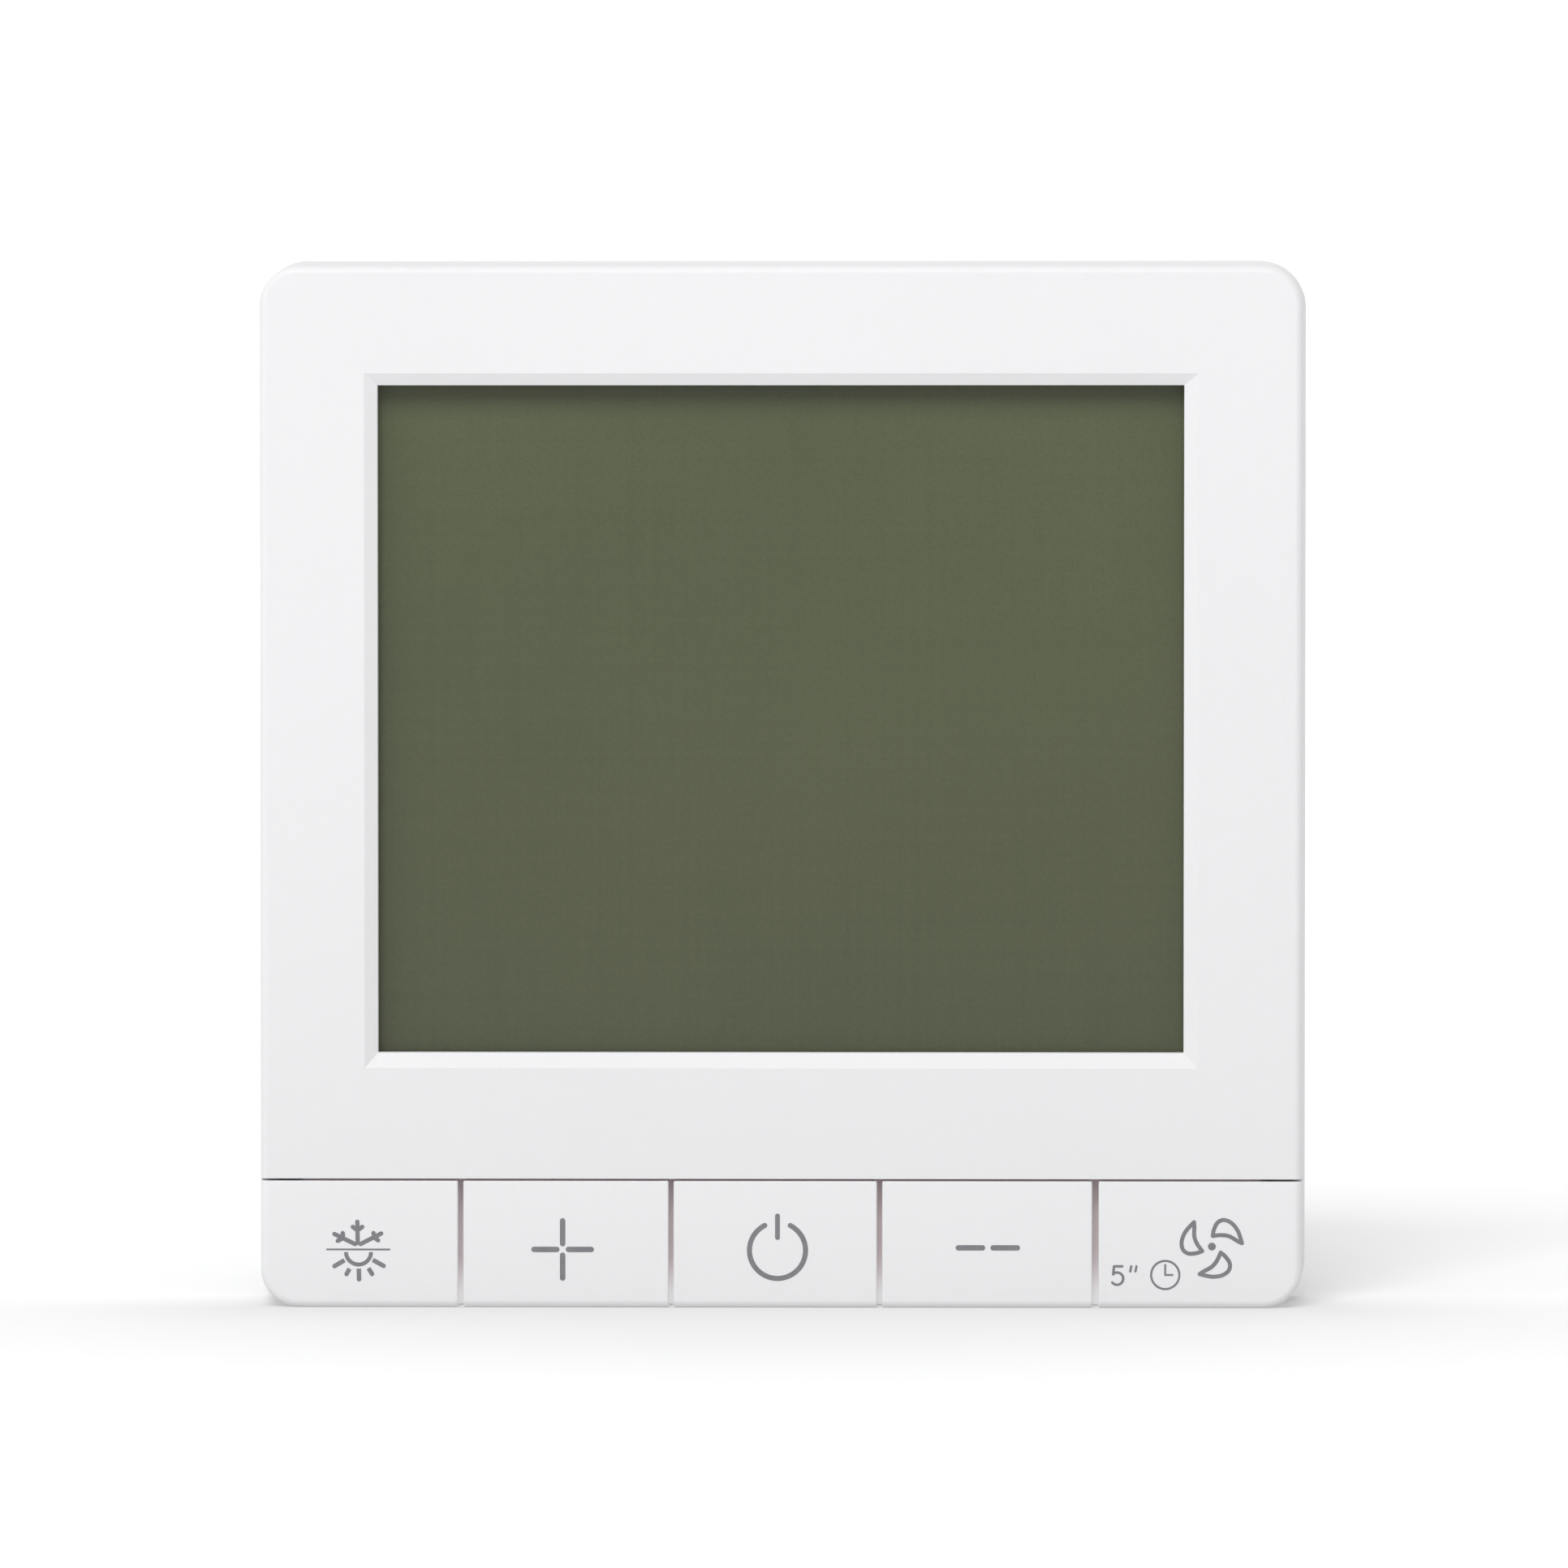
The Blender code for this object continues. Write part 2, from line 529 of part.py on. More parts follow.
def pin_header(parent, look):
    half_x = PIN_COUNT * PIN_PITCH / 2
    side = PIN_SIDE / 2
    pins = [
        box(p - side, p + side, -3.4, POWER_BOARD_FRONT - 1.5, SOCKET_Z - side, SOCKET_Z + side)
        for p in row(PIN_COUNT, PIN_PITCH)
    ]
    y0, y1 = POWER_BOARD_FRONT - 2.5, POWER_BOARD_FRONT - GAP
    block = box(-half_x, half_x, y0, y1, SOCKET_Z - 1.25, SOCKET_Z + 1.25)
    piece("pin_header", parent, look, block, [(JOIN, pins)])


def terminals(parent, looks):
    half_x = WAYS * WAY_PITCH / 2
    z0, z1 = TERMINAL_Z
    middle = (z0 + z1) / 2
    places = row(WAYS, WAY_PITCH)
    screw_holes = [rod(x, middle, 2.15, 13.4, TERMINAL_REAR + OVER, 14) for x in places]
    wire_holes = [box(x - 1.8, x + 1.8, 8.9, 12.4, z0 - OVER, z0 + 7) for x in places]
    grooves = [box(x - 0.4, x + 0.4, 9.0, 30.0, z0 - OVER, z0 + 0.9) for x in row(WAYS - 1, WAY_PITCH)]
    block = box(-half_x, half_x, PARTS_Y, TERMINAL_REAR, z0, z1)
    steps = [(CUT, screw_holes), (CUT, wire_holes), (CUT, grooves)]
    piece("terminal_block", parent, looks["terminal"], block, steps)
    head = TERMINAL_REAR - 0.6
    for number, x in enumerate(places, 1):
        profile = [(head, 1.6), (head - 0.3, 1.85), (head - 1.8, 1.85), (head - 1.8, 1.3), (13.7, 1.3)]
        slot = box(x - 3, x + 3, head - 0.7, head + OVER, middle - 0.3, middle + 0.3)
        shape = cone(x, middle, profile, 14)
        piece(f"terminal_screw_{number}", parent, looks["screw"], shape, [(CUT, [slot])])


def power_parts(parent, looks):
    """Relays for three fan speeds and the valve, and the supply above them."""
    width, height, length = RELAY
    low = -12.9
    for x, name in zip(row(4, width + 0.6), ("high", "medium", "low", "valve")):
        outline = rounded(x - width / 2, x + width / 2, low, low + length, 0.6, 2)
        piece(f"relay_{name}", parent, looks["relay"], prism(outline, PARTS_Y, PARTS_Y + height))
    x, z = -15.4, 13.8
    core = box(x - 6.6, x + 6.6, PARTS_Y + 1.2, PARTS_Y + 12.4, z - 3.2, z + 3.2)
    base = box(x - 5.8, x + 5.8, PARTS_Y, PARTS_Y + 1.6, z - 6.0, z + 6.0)
    winding = prism(rounded(x - 4.6, x + 4.6, z - 5.4, z + 5.4, 1.6, 3), PARTS_Y + 1.0, PARTS_Y + 10.6)
    piece("transformer", parent, looks["ferrite"], core, [(JOIN, [base]), (JOIN, [winding])])
    for name, x, z, radius, tall in (("input", -3.0, 15.2, 4.0, 12.5), ("output", 6.0, 16.6, 3.15, 11.0)):
        groove, top = PARTS_Y + 1.6, PARTS_Y + tall
        profile = [(PARTS_Y, radius - 0.3), (PARTS_Y + 0.4, radius), (groove - 0.4, radius)]
        profile += [(groove, radius - 0.35), (groove + 0.4, radius), (top - 0.5, radius), (top, radius - 0.5)]
        piece(f"capacitor_{name}", parent, looks["capacitor"], cone(x, z, profile, 20))
    x, y, z = 14.0, PARTS_Y + 5.6, 19.6
    rim = arc(x, y, 4.4, 0, 342, 19)
    disc = loft([[(px, py, pz) for px, py in rim] for pz in (z - 1.7, z + 1.7)])
    legs = [box(x + p - 0.3, x + p + 0.3, PARTS_Y, y - 1, z - 0.3, z + 0.3) for p in (-2.5, 2.5)]
    piece("varistor", parent, looks["varistor"], disc, [(JOIN, legs)])
    y, z = PARTS_Y + 3.2, 9.6
    profile = [(9.6, 1.6), (11.6, 1.6), (11.6, 1.4), (17.4, 1.4), (17.4, 1.6), (19.4, 1.6)]
    tube = loft([[(px, py, pz) for py, pz in arc(y, z, r, 0, 337.5, 15)] for px, r in profile])
    legs = [box(px - 0.3, px + 0.3, PARTS_Y, y, z - 0.3, z + 0.3) for px in (10.5, 18.5)]
    piece("fuse", parent, looks["fuse"], tube, [(JOIN, legs)])


# ---- assembly -------------------------------------------------------------------------------
def main():
    for obj in list(bpy.data.objects):
        bpy.data.objects.remove(obj)
    looks = {
        "shell": material("shell_white", (0.84, 0.84, 0.855), 0.45),
        "key": material("key_white", (0.84, 0.84, 0.855), 0.45),
        "white_inner": material("frame_white", (0.88, 0.88, 0.86), 0.5),
        "polariser": material("polariser_green", (0.115, 0.13, 0.075), 0.3),
        "glass": material("lcd_glass", (0.2, 0.23, 0.18), 0.1),
        "reflector": material("reflector_grey", (0.5, 0.53, 0.45), 0.35),
        "acrylic": material("light_guide", (0.85, 0.88, 0.86), 0.2),
        "rubber": material("zebra_rubber", (0.55, 0.5, 0.45), 0.7),
        "led": material("led_white", (0.9, 0.88, 0.75), 0.4),
        "board": material("board_green", (0.03, 0.16, 0.06), 0.45),
        "switch": material("switch_black", (0.03, 0.03, 0.03), 0.5),
        "stem": material("stem_black", (0.06, 0.06, 0.06), 0.4),
        "chip": material("chip_black", (0.04, 0.04, 0.045), 0.5),
        "thermistor": material("thermistor_black", (0.05, 0.05, 0.05), 0.35),
        "header": material("header_black", (0.03, 0.03, 0.03), 0.45),
        "screw": material("screw_steel", (0.62, 0.62, 0.6), 0.35, 1.0),
        "steel": material("zinc_steel", (0.6, 0.61, 0.62), 0.4, 1.0),
        "case": material("case_white", (0.8, 0.8, 0.78), 0.5),
        "terminal": material("terminal_green", (0.05, 0.3, 0.12), 0.45),
        "relay": material("relay_blue", (0.04, 0.12, 0.35), 0.4),
        "ferrite": material("ferrite_tape", (0.5, 0.38, 0.08), 0.5),
        "capacitor": material("capacitor_sleeve", (0.03, 0.03, 0.06), 0.35),
        "varistor": material("varistor_blue", (0.05, 0.15, 0.4), 0.45),
        "fuse": material("fuse_ceramic", (0.7, 0.66, 0.55), 0.4),
    }
    wall_unit = group("wall_unit")
    front_unit = group("front_unit", wall_unit)
    front_cover(front_unit, looks["shell"])
    display(front_unit, looks)
    control_board(front_unit, looks)
    for name, edges, x in zip(KEY_NAMES, key_edges(), POST_X):
        key_group = group(f"{name}_moving", front_unit, (x, FRONT_Y, POST_Z))
        key(key_group, f"key_{name}", edges, x, looks["key"])
        tact_switch(front_unit, key_group, name, x, looks)
    rear_cover(front_unit, looks["white_inner"])
    mounting_plate(wall_unit, looks)
    power_case(wall_unit, looks)
    slot = box(-11.0, 11.0, -OVER, 3.0, SOCKET_Z - 1.8, SOCKET_Z + 1.8)
    case_sheet(wall_unit, "power_lid", looks["case"], CASE_FRONT + 0.2, CASE_FRONT + 1.3, [slot])
    case_sheet(wall_unit, "power_board", looks["board"], POWER_BOARD_FRONT, POWER_BOARD_REAR, [])
    pin_header(wall_unit, looks["header"])
    terminals(wall_unit, looks)
    power_parts(wall_unit, looks)
    bpy.context.view_layer.update()


main()
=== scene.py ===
"""The looks of the wall thermostat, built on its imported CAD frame.

The cover and the keys are fine-mesh pieces that stand for their CAD solids, with printed
pictograms on the keys. Every other CAD node stays and gets a material of its own.
Lengths are in millimetres until a mesh is made. The front faces -Y and the wall is y = 0.
"""

import json
import math

import bmesh
import bpy
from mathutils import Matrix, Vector


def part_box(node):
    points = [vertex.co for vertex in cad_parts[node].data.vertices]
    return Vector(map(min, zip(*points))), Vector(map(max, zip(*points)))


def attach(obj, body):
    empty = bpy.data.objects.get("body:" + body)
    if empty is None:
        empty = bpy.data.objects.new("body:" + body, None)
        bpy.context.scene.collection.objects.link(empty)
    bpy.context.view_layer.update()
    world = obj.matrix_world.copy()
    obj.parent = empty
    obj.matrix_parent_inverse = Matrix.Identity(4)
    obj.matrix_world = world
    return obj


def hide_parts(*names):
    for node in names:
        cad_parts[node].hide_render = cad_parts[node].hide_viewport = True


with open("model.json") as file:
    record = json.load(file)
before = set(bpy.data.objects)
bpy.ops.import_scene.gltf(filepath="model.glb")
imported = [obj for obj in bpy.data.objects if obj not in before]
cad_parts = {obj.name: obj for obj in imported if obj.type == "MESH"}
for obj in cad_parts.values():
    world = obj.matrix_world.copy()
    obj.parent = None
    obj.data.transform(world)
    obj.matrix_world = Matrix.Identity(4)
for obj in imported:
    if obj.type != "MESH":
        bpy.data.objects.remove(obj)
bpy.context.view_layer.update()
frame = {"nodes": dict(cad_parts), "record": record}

MM = 0.001
OVER = 1.0  # how far a cutter runs past the face it cuts
FAR = 50.0  # beyond every outline
KEEP, JOIN, CUT = "INTERSECT", "UNION", "DIFFERENCE"


def cad_box(node):
    low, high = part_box(node)
    return low / MM, high / MM


# ---- sizes ----------------------------------------------------------------------------------
COVER_LOW, COVER_HIGH = cad_box("front_cover")
FRONT_Y = COVER_LOW.y
RIM_Y = COVER_HIGH.y
REAR_HALF = COVER_HIGH.x
FRONT_HALF = 42.25
LEAN = (REAR_HALF - FRONT_HALF) / (RIM_Y - FRONT_Y)  # outward lean of the side walls
CORNER_R = 3.1
CORNER_STEPS = 20
EDGE_R = 0.6
EDGE_STEPS = 8
WALL = 1.8
SOFT_EDGE = 0.07  # radius of an edge that looks sharp
CHAMFER_ANGLE = 14.0  # degrees: small enough to soften the window's shallow edges too

WINDOW = (-32.75, 32.7, -21.55, 32.63)  # x0, x1, z0, z1
CHAMFER = (1.05, 1.15, 1.25, 0.95)  # left, right, below, above
CHAMFER_DEPTH = 0.5
PLATE_T = 1.8
FILM_SHADE = (29.8, 31.7)  # the heights of the painted shadow that darkens the film under the window's edge

KEYS = ("mode", "plus", "power", "minus", "fan")
COVER_BOTTOM = -31.78
SHELF_TOP = -30.4
DECK_FRONT = FRONT_Y + 2.7
DECK_REAR = DECK_FRONT + 1.0
KEY_T = 2.2
KEY_SET_BACK = 0.02  # leaves room for the print inside the outline
KEY_EDGE = 0.14

POST_Z = -36.6
POST_X = (-33.6, -17.47, -0.45, 16.76, 33.6)
POST_HOLE_HALF = 2.2
CATCH_SIDES = (40.6, 42.0)  # the catches inside the rim that hold the rear cover
CATCH_FRONT = -1.15
CATCH_REAR = RIM_Y - 0.1
CATCH_Z = (-20.0, 20.0)
CATCH_HALF = 3.0
VENT_COUNT = 11
VENT_PITCH = 3.2
VENT_HALF = 0.6
VENT_FRONT, VENT_REAR = -8.0, -3.2
NOTCH_HALF = 5.0  # the lever slot in the lower rim
NOTCH_FRONT = -1.3
UNDERSIDE_CUT_TOP = -40.0  # how high the vents and the notch are cut

PRINT_FACE = FRONT_Y + KEY_SET_BACK
INK_T = 0.012
INK_STEP = 0.0006  # between strokes that cross
CAP_STEPS = 10

FLOOR_Z = -42.28
FLOOR_HALF = 3000.0
BACKDROP_Y = 1800.0
BACKDROP_TOP = 2500.0

# ---- light: strengths of glowing surfaces, then watts ---------------------------------------
WORLD = 0.71
BACKDROP = 0.15

FLOOR_WHITE = (0.9, 0.9, 0.905)
FLOOR_PAINTED_SHADE = (0.4, 0.4, 0.4)  # painted shade: the floor turns grey just in front of the object, as its contact shadow
# painted light: the floor glows just in front of the object, so that its front edge meets it without a
# dark line
FRONT_GLOW = 0.42
FRONT_ZONE_HALF = 40.0
FRONT_ZONE_REACH = 100.0
CONTACT_SHADE = 0.84  # painted contact shadow: share of the front glow that is left at the object
CONTACT_REACH = 20.0
# painted light: the floor glows more the further it is from the object, which leaves painted shade
# around it
FLOOR_GLOW = 0.2
GLOW_START = 110.0  # distances from the object's centre
GLOW_END = 600.0

GAP_GLOW = (0.075, 0.11, 0.12)  # painted light, a glow in the key gaps: at the top, lower down, and added at the bottom
GAP_TOP_SHARE = 0.45  # how much of it is left at the very top
GAP_TOP_HEIGHT = 1.5  # how far down that weakening reaches
GAP_HALF = 39.0  # clear of the rounded corners
GAP_BOTTOM = -42.15
TOUCH = 0.01  # takes in a face that lies on the limit
GAP_DEPTHS = (0.15, 0.6)  # behind the front, where the glow starts and where it is full
GAP_LOWER = (-38.5, -41.5)  # where the bottom's glow starts and where it is full
GAP_FADE = (-38.0, -41.0)  # where the glow turns from warm to white
# the colours of the painted glow in the gaps
GAP_GLOW_WARM, GAP_GLOW_WHITE = (1.0, 0.76, 0.78), (1.0, 0.98, 0.98)

KEY_WATTS = 8.5
LEFT_WATTS = 4.9
TOP_WATTS = 3.4


# ---- shapes: each returns a function that adds closed geometry to a bmesh ---------------------
def loft(rings):
    """A closed skin through rings of equal length, each a list of (x, y, z)."""

    def add(bm):
        loops = [[bm.verts.new([c * MM for c in p]) for p in ring] for ring in rings]
        count = len(loops[0])
        for first, second in zip(loops, loops[1:]):
            for i in range(count):
                j = (i + 1) % count
                bm.faces.new((first[i], first[j], second[j], second[i]))
        bm.faces.new(loops[0][::-1])
        bm.faces.new(loops[-1])

    return add


def prism(outline, y0, y1):
    """An outline of (x, z) points, extruded along Y."""
    return loft([[(x, y, z) for x, z in outline] for y in (y0, y1)])


def box(x0, x1, y0, y1, z0, z1):
    return prism([(x0, z0), (x1, z0), (x1, z1), (x0, z1)], y0, y1)


def arc(cx, cz, radius, start, end, steps):
    """Points (x, z) on an arc, angles in degrees."""
    angles = [math.radians(start + (end - start) * k / steps) for k in range(steps + 1)]
    return [(cx + radius * math.cos(a), cz + radius * math.sin(a)) for a in angles]


def rounded(x0, x1, z0, z1, radius, steps=CORNER_STEPS):
    """A rectangle with rounded corners, as (x, z) points."""
    return (
        arc(x1 - radius, z1 - radius, radius, 0, 90, steps)
        + arc(x0 + radius, z1 - radius, radius, 90, 180, steps)
        + arc(x0 + radius, z0 + radius, radius, 180, 270, steps)
        + arc(x1 - radius, z0 + radius, radius, 270, 360, steps)
    )


def body_ring(y, inset=0.0):
    """The body's outline at depth y, moved inwards by inset."""
    grown = LEAN * (y - FRONT_Y) - inset
    half = FRONT_HALF + grown
    return [(x, y, z) for x, z in rounded(-half, half, -half, half, CORNER_R + grown)]


def body_shape(front_y, rear_y):
    """The outer body from front_y, with its rounded edge, back to rear_y."""
    rings = []
    for k in range(EDGE_STEPS + 1):
        turn = math.radians(90 * k / EDGE_STEPS)
        y = front_y + EDGE_R * (1 - math.cos(turn))
        rings.append(body_ring(y, EDGE_R * (1 - math.sin(turn))))
    return loft(rings + [body_ring(rear_y)])


def row(count, pitch):
    return [(i - (count - 1) / 2) * pitch for i in range(count)]


# ---- objects --------------------------------------------------------------------------------
def mesh_of(name, shapes):
    bm = bmesh.new()
    for shape in shapes:
        shape(bm)
    bmesh.ops.recalc_face_normals(bm, faces=bm.faces)
    mesh = bpy.data.meshes.new(name)
    bm.to_mesh(mesh)
    bm.free()
    return mesh


def show(name, data):
    obj = bpy.data.objects.new(name, data)
    bpy.context.scene.collection.objects.link(obj)
    return obj


def carve(name, shape, steps):
    """An object made from one shape and steps of (KEEP, JOIN or CUT, shapes).

    The shapes of one step don't touch each other.
    """
    obj = show(name, mesh_of(name, [shape]))
    helpers = []
    for number, (operation, shapes) in enumerate(steps):
        helper = show(f"{name}_helper_{number}", mesh_of(f"{name}_helper_{number}", shapes))
        helpers.append(helper)
        modifier = obj.modifiers.new(helper.name, "BOOLEAN")
        modifier.operation = operation
        modifier.object = helper
    graph = bpy.context.evaluated_depsgraph_get()
    mesh = bpy.data.meshes.new_from_object(obj.evaluated_get(graph))
    obj.modifiers.clear()
    obj.data = mesh
    for helper in helpers:
        bpy.data.objects.remove(helper)
    return obj


def soften(obj, width, segments=3, angle=30):
    """Rounds the sharp edges a little and keeps the flat faces flat."""
    obj.data.shade_smooth()
    bevel = obj.modifiers.new("edge", "BEVEL")
    bevel.width = width * MM
    bevel.segments = segments
    bevel.limit_method = "ANGLE"
    bevel.angle_limit = math.radians(angle)
    bevel.miter_outer = "MITER_ARC"
    weighted = obj.modifiers.new("normals", "WEIGHTED_NORMAL")
    weighted.keep_sharp = True
    weighted.weight = 100


def finish_piece(obj, look, slot, body, *replaced):
    obj.data.materials.clear()
    obj.data.materials.append(look)
    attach(obj, body)
    if replaced:
        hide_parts(*replaced)


# ---- materials --------------------------------------------------------------------------------
class Look:
    """A Principled material with helpers that add procedural detail, in object space."""

    def __init__(self, name, roughness, metallic=0.0, specular=0.5):
        self.material = bpy.data.materials.new(name)
        self.material.use_nodes = True
        self.tree = self.material.node_tree
        self.shader = self.tree.nodes["Principled BSDF"]
        self.shader.inputs["Roughness"].default_value = roughness
        self.shader.inputs["Metallic"].default_value = metallic
        self.shader.inputs["Specular IOR Level"].default_value = specular
        self.place = self.tree.nodes.new("ShaderNodeTexCoord").outputs["Object"]

    def node(self, kind, **values):
        made = self.tree.nodes.new("ShaderNode" + kind)
        for name, value in values.items():
            setattr(made, name, value)
        return made

    def link(self, source, target):
        self.tree.links.new(source, target)

    def stretched(self, scale):
        """Object coordinates, scaled differently along each axis."""
        mapping = self.node("Mapping")
        mapping.inputs["Scale"].default_value = scale
        self.link(self.place, mapping.inputs["Vector"])
        return mapping.outputs["Vector"]

    def noise(self, scale, detail=3.0, place=None, rough=0.5):
        """Noise with features 1/scale millimetres across."""
        made = self.node("TexNoise")
        made.inputs["Scale"].default_value = scale / MM
        made.inputs["Detail"].default_value = detail
        made.inputs["Roughness"].default_value = rough
        self.link(place or self.place, made.inputs["Vector"])
        return made.outputs["Fac"]

    def ramp(self, source, low, high, to_low, to_high):
        """Maps source from [low, high] to [to_low, to_high], clamped."""
        made = self.node("MapRange")
        made.inputs["From Min"].default_value = low
        made.inputs["From Max"].default_value = high
        made.inputs["To Min"].default_value = to_low
        made.inputs["To Max"].default_value = to_high
        self.link(source, made.inputs["Value"])
        return made.outputs["Result"]

    def mix(self, share, first, second):
        """Mixes two colours, each a tuple or another node's output."""
        made = self.node("Mix", data_type="RGBA")
        self.link(share, made.inputs["Factor"])
        sockets = [socket for socket in made.inputs if socket.type == "RGBA"]
        for value, socket in zip((first, second), sockets):
            if isinstance(value, tuple):
                socket.default_value = (*value, 1.0)
            else:
                self.link(value, socket)
        return next(socket for socket in made.outputs if socket.type == "RGBA")

    def axes(self):
        """The X, Y and Z of the object coordinates."""
        made = self.node("SeparateXYZ")
        self.link(self.place, made.inputs[0])
        return [made.outputs[axis] for axis in "XYZ"]

    def math(self, operation, *values):
        """A Math node on values that are floats or other nodes' outputs."""
        made = self.node("Math", operation=operation)
        for value, socket in zip(values, made.inputs):
            if isinstance(value, float):
                socket.default_value = value
            else:
                self.link(value, socket)
        return made.outputs["Value"]

    def colour(self, source):
        self.link(source, self.shader.inputs["Base Color"])

    def roughness(self, source, low, high):
        self.link(self.ramp(source, 0.3, 0.7, low, high), self.shader.inputs["Roughness"])

    def bump(self, height, strength, depth):
        """Raises the surface by up to depth millimetres where height is 1."""
        made = self.node("Bump")
        made.inputs["Strength"].default_value = strength
        made.inputs["Distance"].default_value = depth * MM
        self.link(height, made.inputs["Height"])
        self.link(made.outputs["Normal"], self.shader.inputs["Normal"])


def paint_light_in_gaps(look):
    """Painted light: a faint warm glow in the gaps around the keys, in place of the light that white
    plastic scatters into them.
    """
    x, y, z = look.axes()
    starts, full = ((FRONT_Y + depth) * MM for depth in GAP_DEPTHS)
    below_top = (COVER_BOTTOM - GAP_TOP_HEIGHT) * MM
    shares = (
        look.math("LESS_THAN", y, (DECK_FRONT + 2 * TOUCH) * MM),
        look.math("LESS_THAN", z, (COVER_BOTTOM + TOUCH) * MM),
        look.math("GREATER_THAN", z, GAP_BOTTOM * MM),
        look.math("LESS_THAN", look.math("ABSOLUTE", x), GAP_HALF * MM),
        look.ramp(z, COVER_BOTTOM * MM, below_top, GAP_TOP_SHARE, 1.0),
    )
    share = look.ramp(y, starts, full, 0.0, 1.0)
    for factor in shares:
        share = look.math("MULTIPLY", share, factor)
    top, lower_down, added = GAP_GLOW
    lower_start, lower_full = (height * MM for height in GAP_LOWER)
    upper = look.ramp(z, COVER_BOTTOM * MM, lower_start, top, lower_down)
    lower = look.ramp(z, lower_start, lower_full, 0.0, added)
    strength = look.math("MULTIPLY", share, look.math("ADD", upper, lower))
    fade = look.ramp(z, GAP_FADE[0] * MM, GAP_FADE[1] * MM, 0.0, 1.0)
    look.link(look.mix(fade, GAP_GLOW_WARM, GAP_GLOW_WHITE), look.shader.inputs["Emission Color"])
    look.link(strength, look.shader.inputs["Emission Strength"])


def moulded(
    name, light, dark, roughness, grain=3.0, depth=0.01, cloud=0.03, specular=0.5, painted_gap_glow=False
):
    """Moulded plastic: faint cloudy colour, and the fine grain of an eroded mould."""
    look = Look(name, roughness, specular=specular)
    look.colour(look.mix(look.ramp(look.noise(cloud), 0.35, 0.65, 0, 1), light, dark))
    look.roughness(look.noise(grain * 0.4, 4.0), roughness - 0.05, roughness + 0.06)
    look.bump(look.noise(grain, 2.0), 0.8, depth)
    # painted light: a glow in the key gaps
    if painted_gap_glow:
        paint_light_in_gaps(look)
    return look.material


def plated(name, light, dark, roughness, streak=(1.0, 1.0, 0.06)):
    """Zinc or nickel plated steel: rolling streaks and dull blotches."""
    look = Look(name, roughness, metallic=1.0)
    streaks = look.noise(2.2, 5.0, look.stretched(streak), 0.6)
    blotches = look.noise(0.12, 3.0)
    base = look.mix(look.ramp(streaks, 0.35, 0.65, 0, 1), light, dark)
    look.colour(look.mix(look.ramp(blotches, 0.4, 0.75, 0, 0.35), base, (0.5, 0.52, 0.5)))
    look.roughness(streaks, roughness - 0.08, roughness + 0.12)
    look.bump(streaks, 0.2, 0.01)
    return look.material


def circuit_board(name):
    """Green solder mask over copper tracks, with scattered tinned pads."""
    look = Look(name, 0.4)
    tracks = look.node("TexBrick", offset=0.5, squash=1.0)
    tracks.inputs["Scale"].default_value = 1 / MM
    tracks.inputs["Brick Width"].default_value = 9.0
    tracks.inputs["Row Height"].default_value = 1.27
    tracks.inputs["Mortar Size"].default_value = 0.16
    turned = look.node("Mapping")
    turned.inputs["Rotation"].default_value = (math.radians(90), 0, 0)
    look.link(look.place, turned.inputs["Vector"])
    look.link(turned.outputs["Vector"], tracks.inputs["Vector"])
    dots = look.node("TexVoronoi", feature="F1", distance="EUCLIDEAN")
    dots.inputs["Scale"].default_value = 0.3 / MM
    dots.inputs["Randomness"].default_value = 0.55
    look.link(look.place, dots.inputs["Vector"])
    shade = look.ramp(look.noise(0.05), 0.4, 0.6, 0, 1)
    mask = look.mix(shade, (0.012, 0.12, 0.035), (0.02, 0.15, 0.05))
    tracked = look.mix(tracks.outputs["Fac"], mask, (0.04, 0.25, 0.09))
    pad = look.ramp(dots.outputs["Distance"], 0.14, 0.16, 1, 0)
    look.colour(look.mix(pad, tracked, (0.55, 0.55, 0.52)))
    look.link(look.ramp(pad, 0, 1, 0, 0.9), look.shader.inputs["Metallic"])
    look.bump(tracks.outputs["Fac"], 0.4, 0.03)
    return look.material


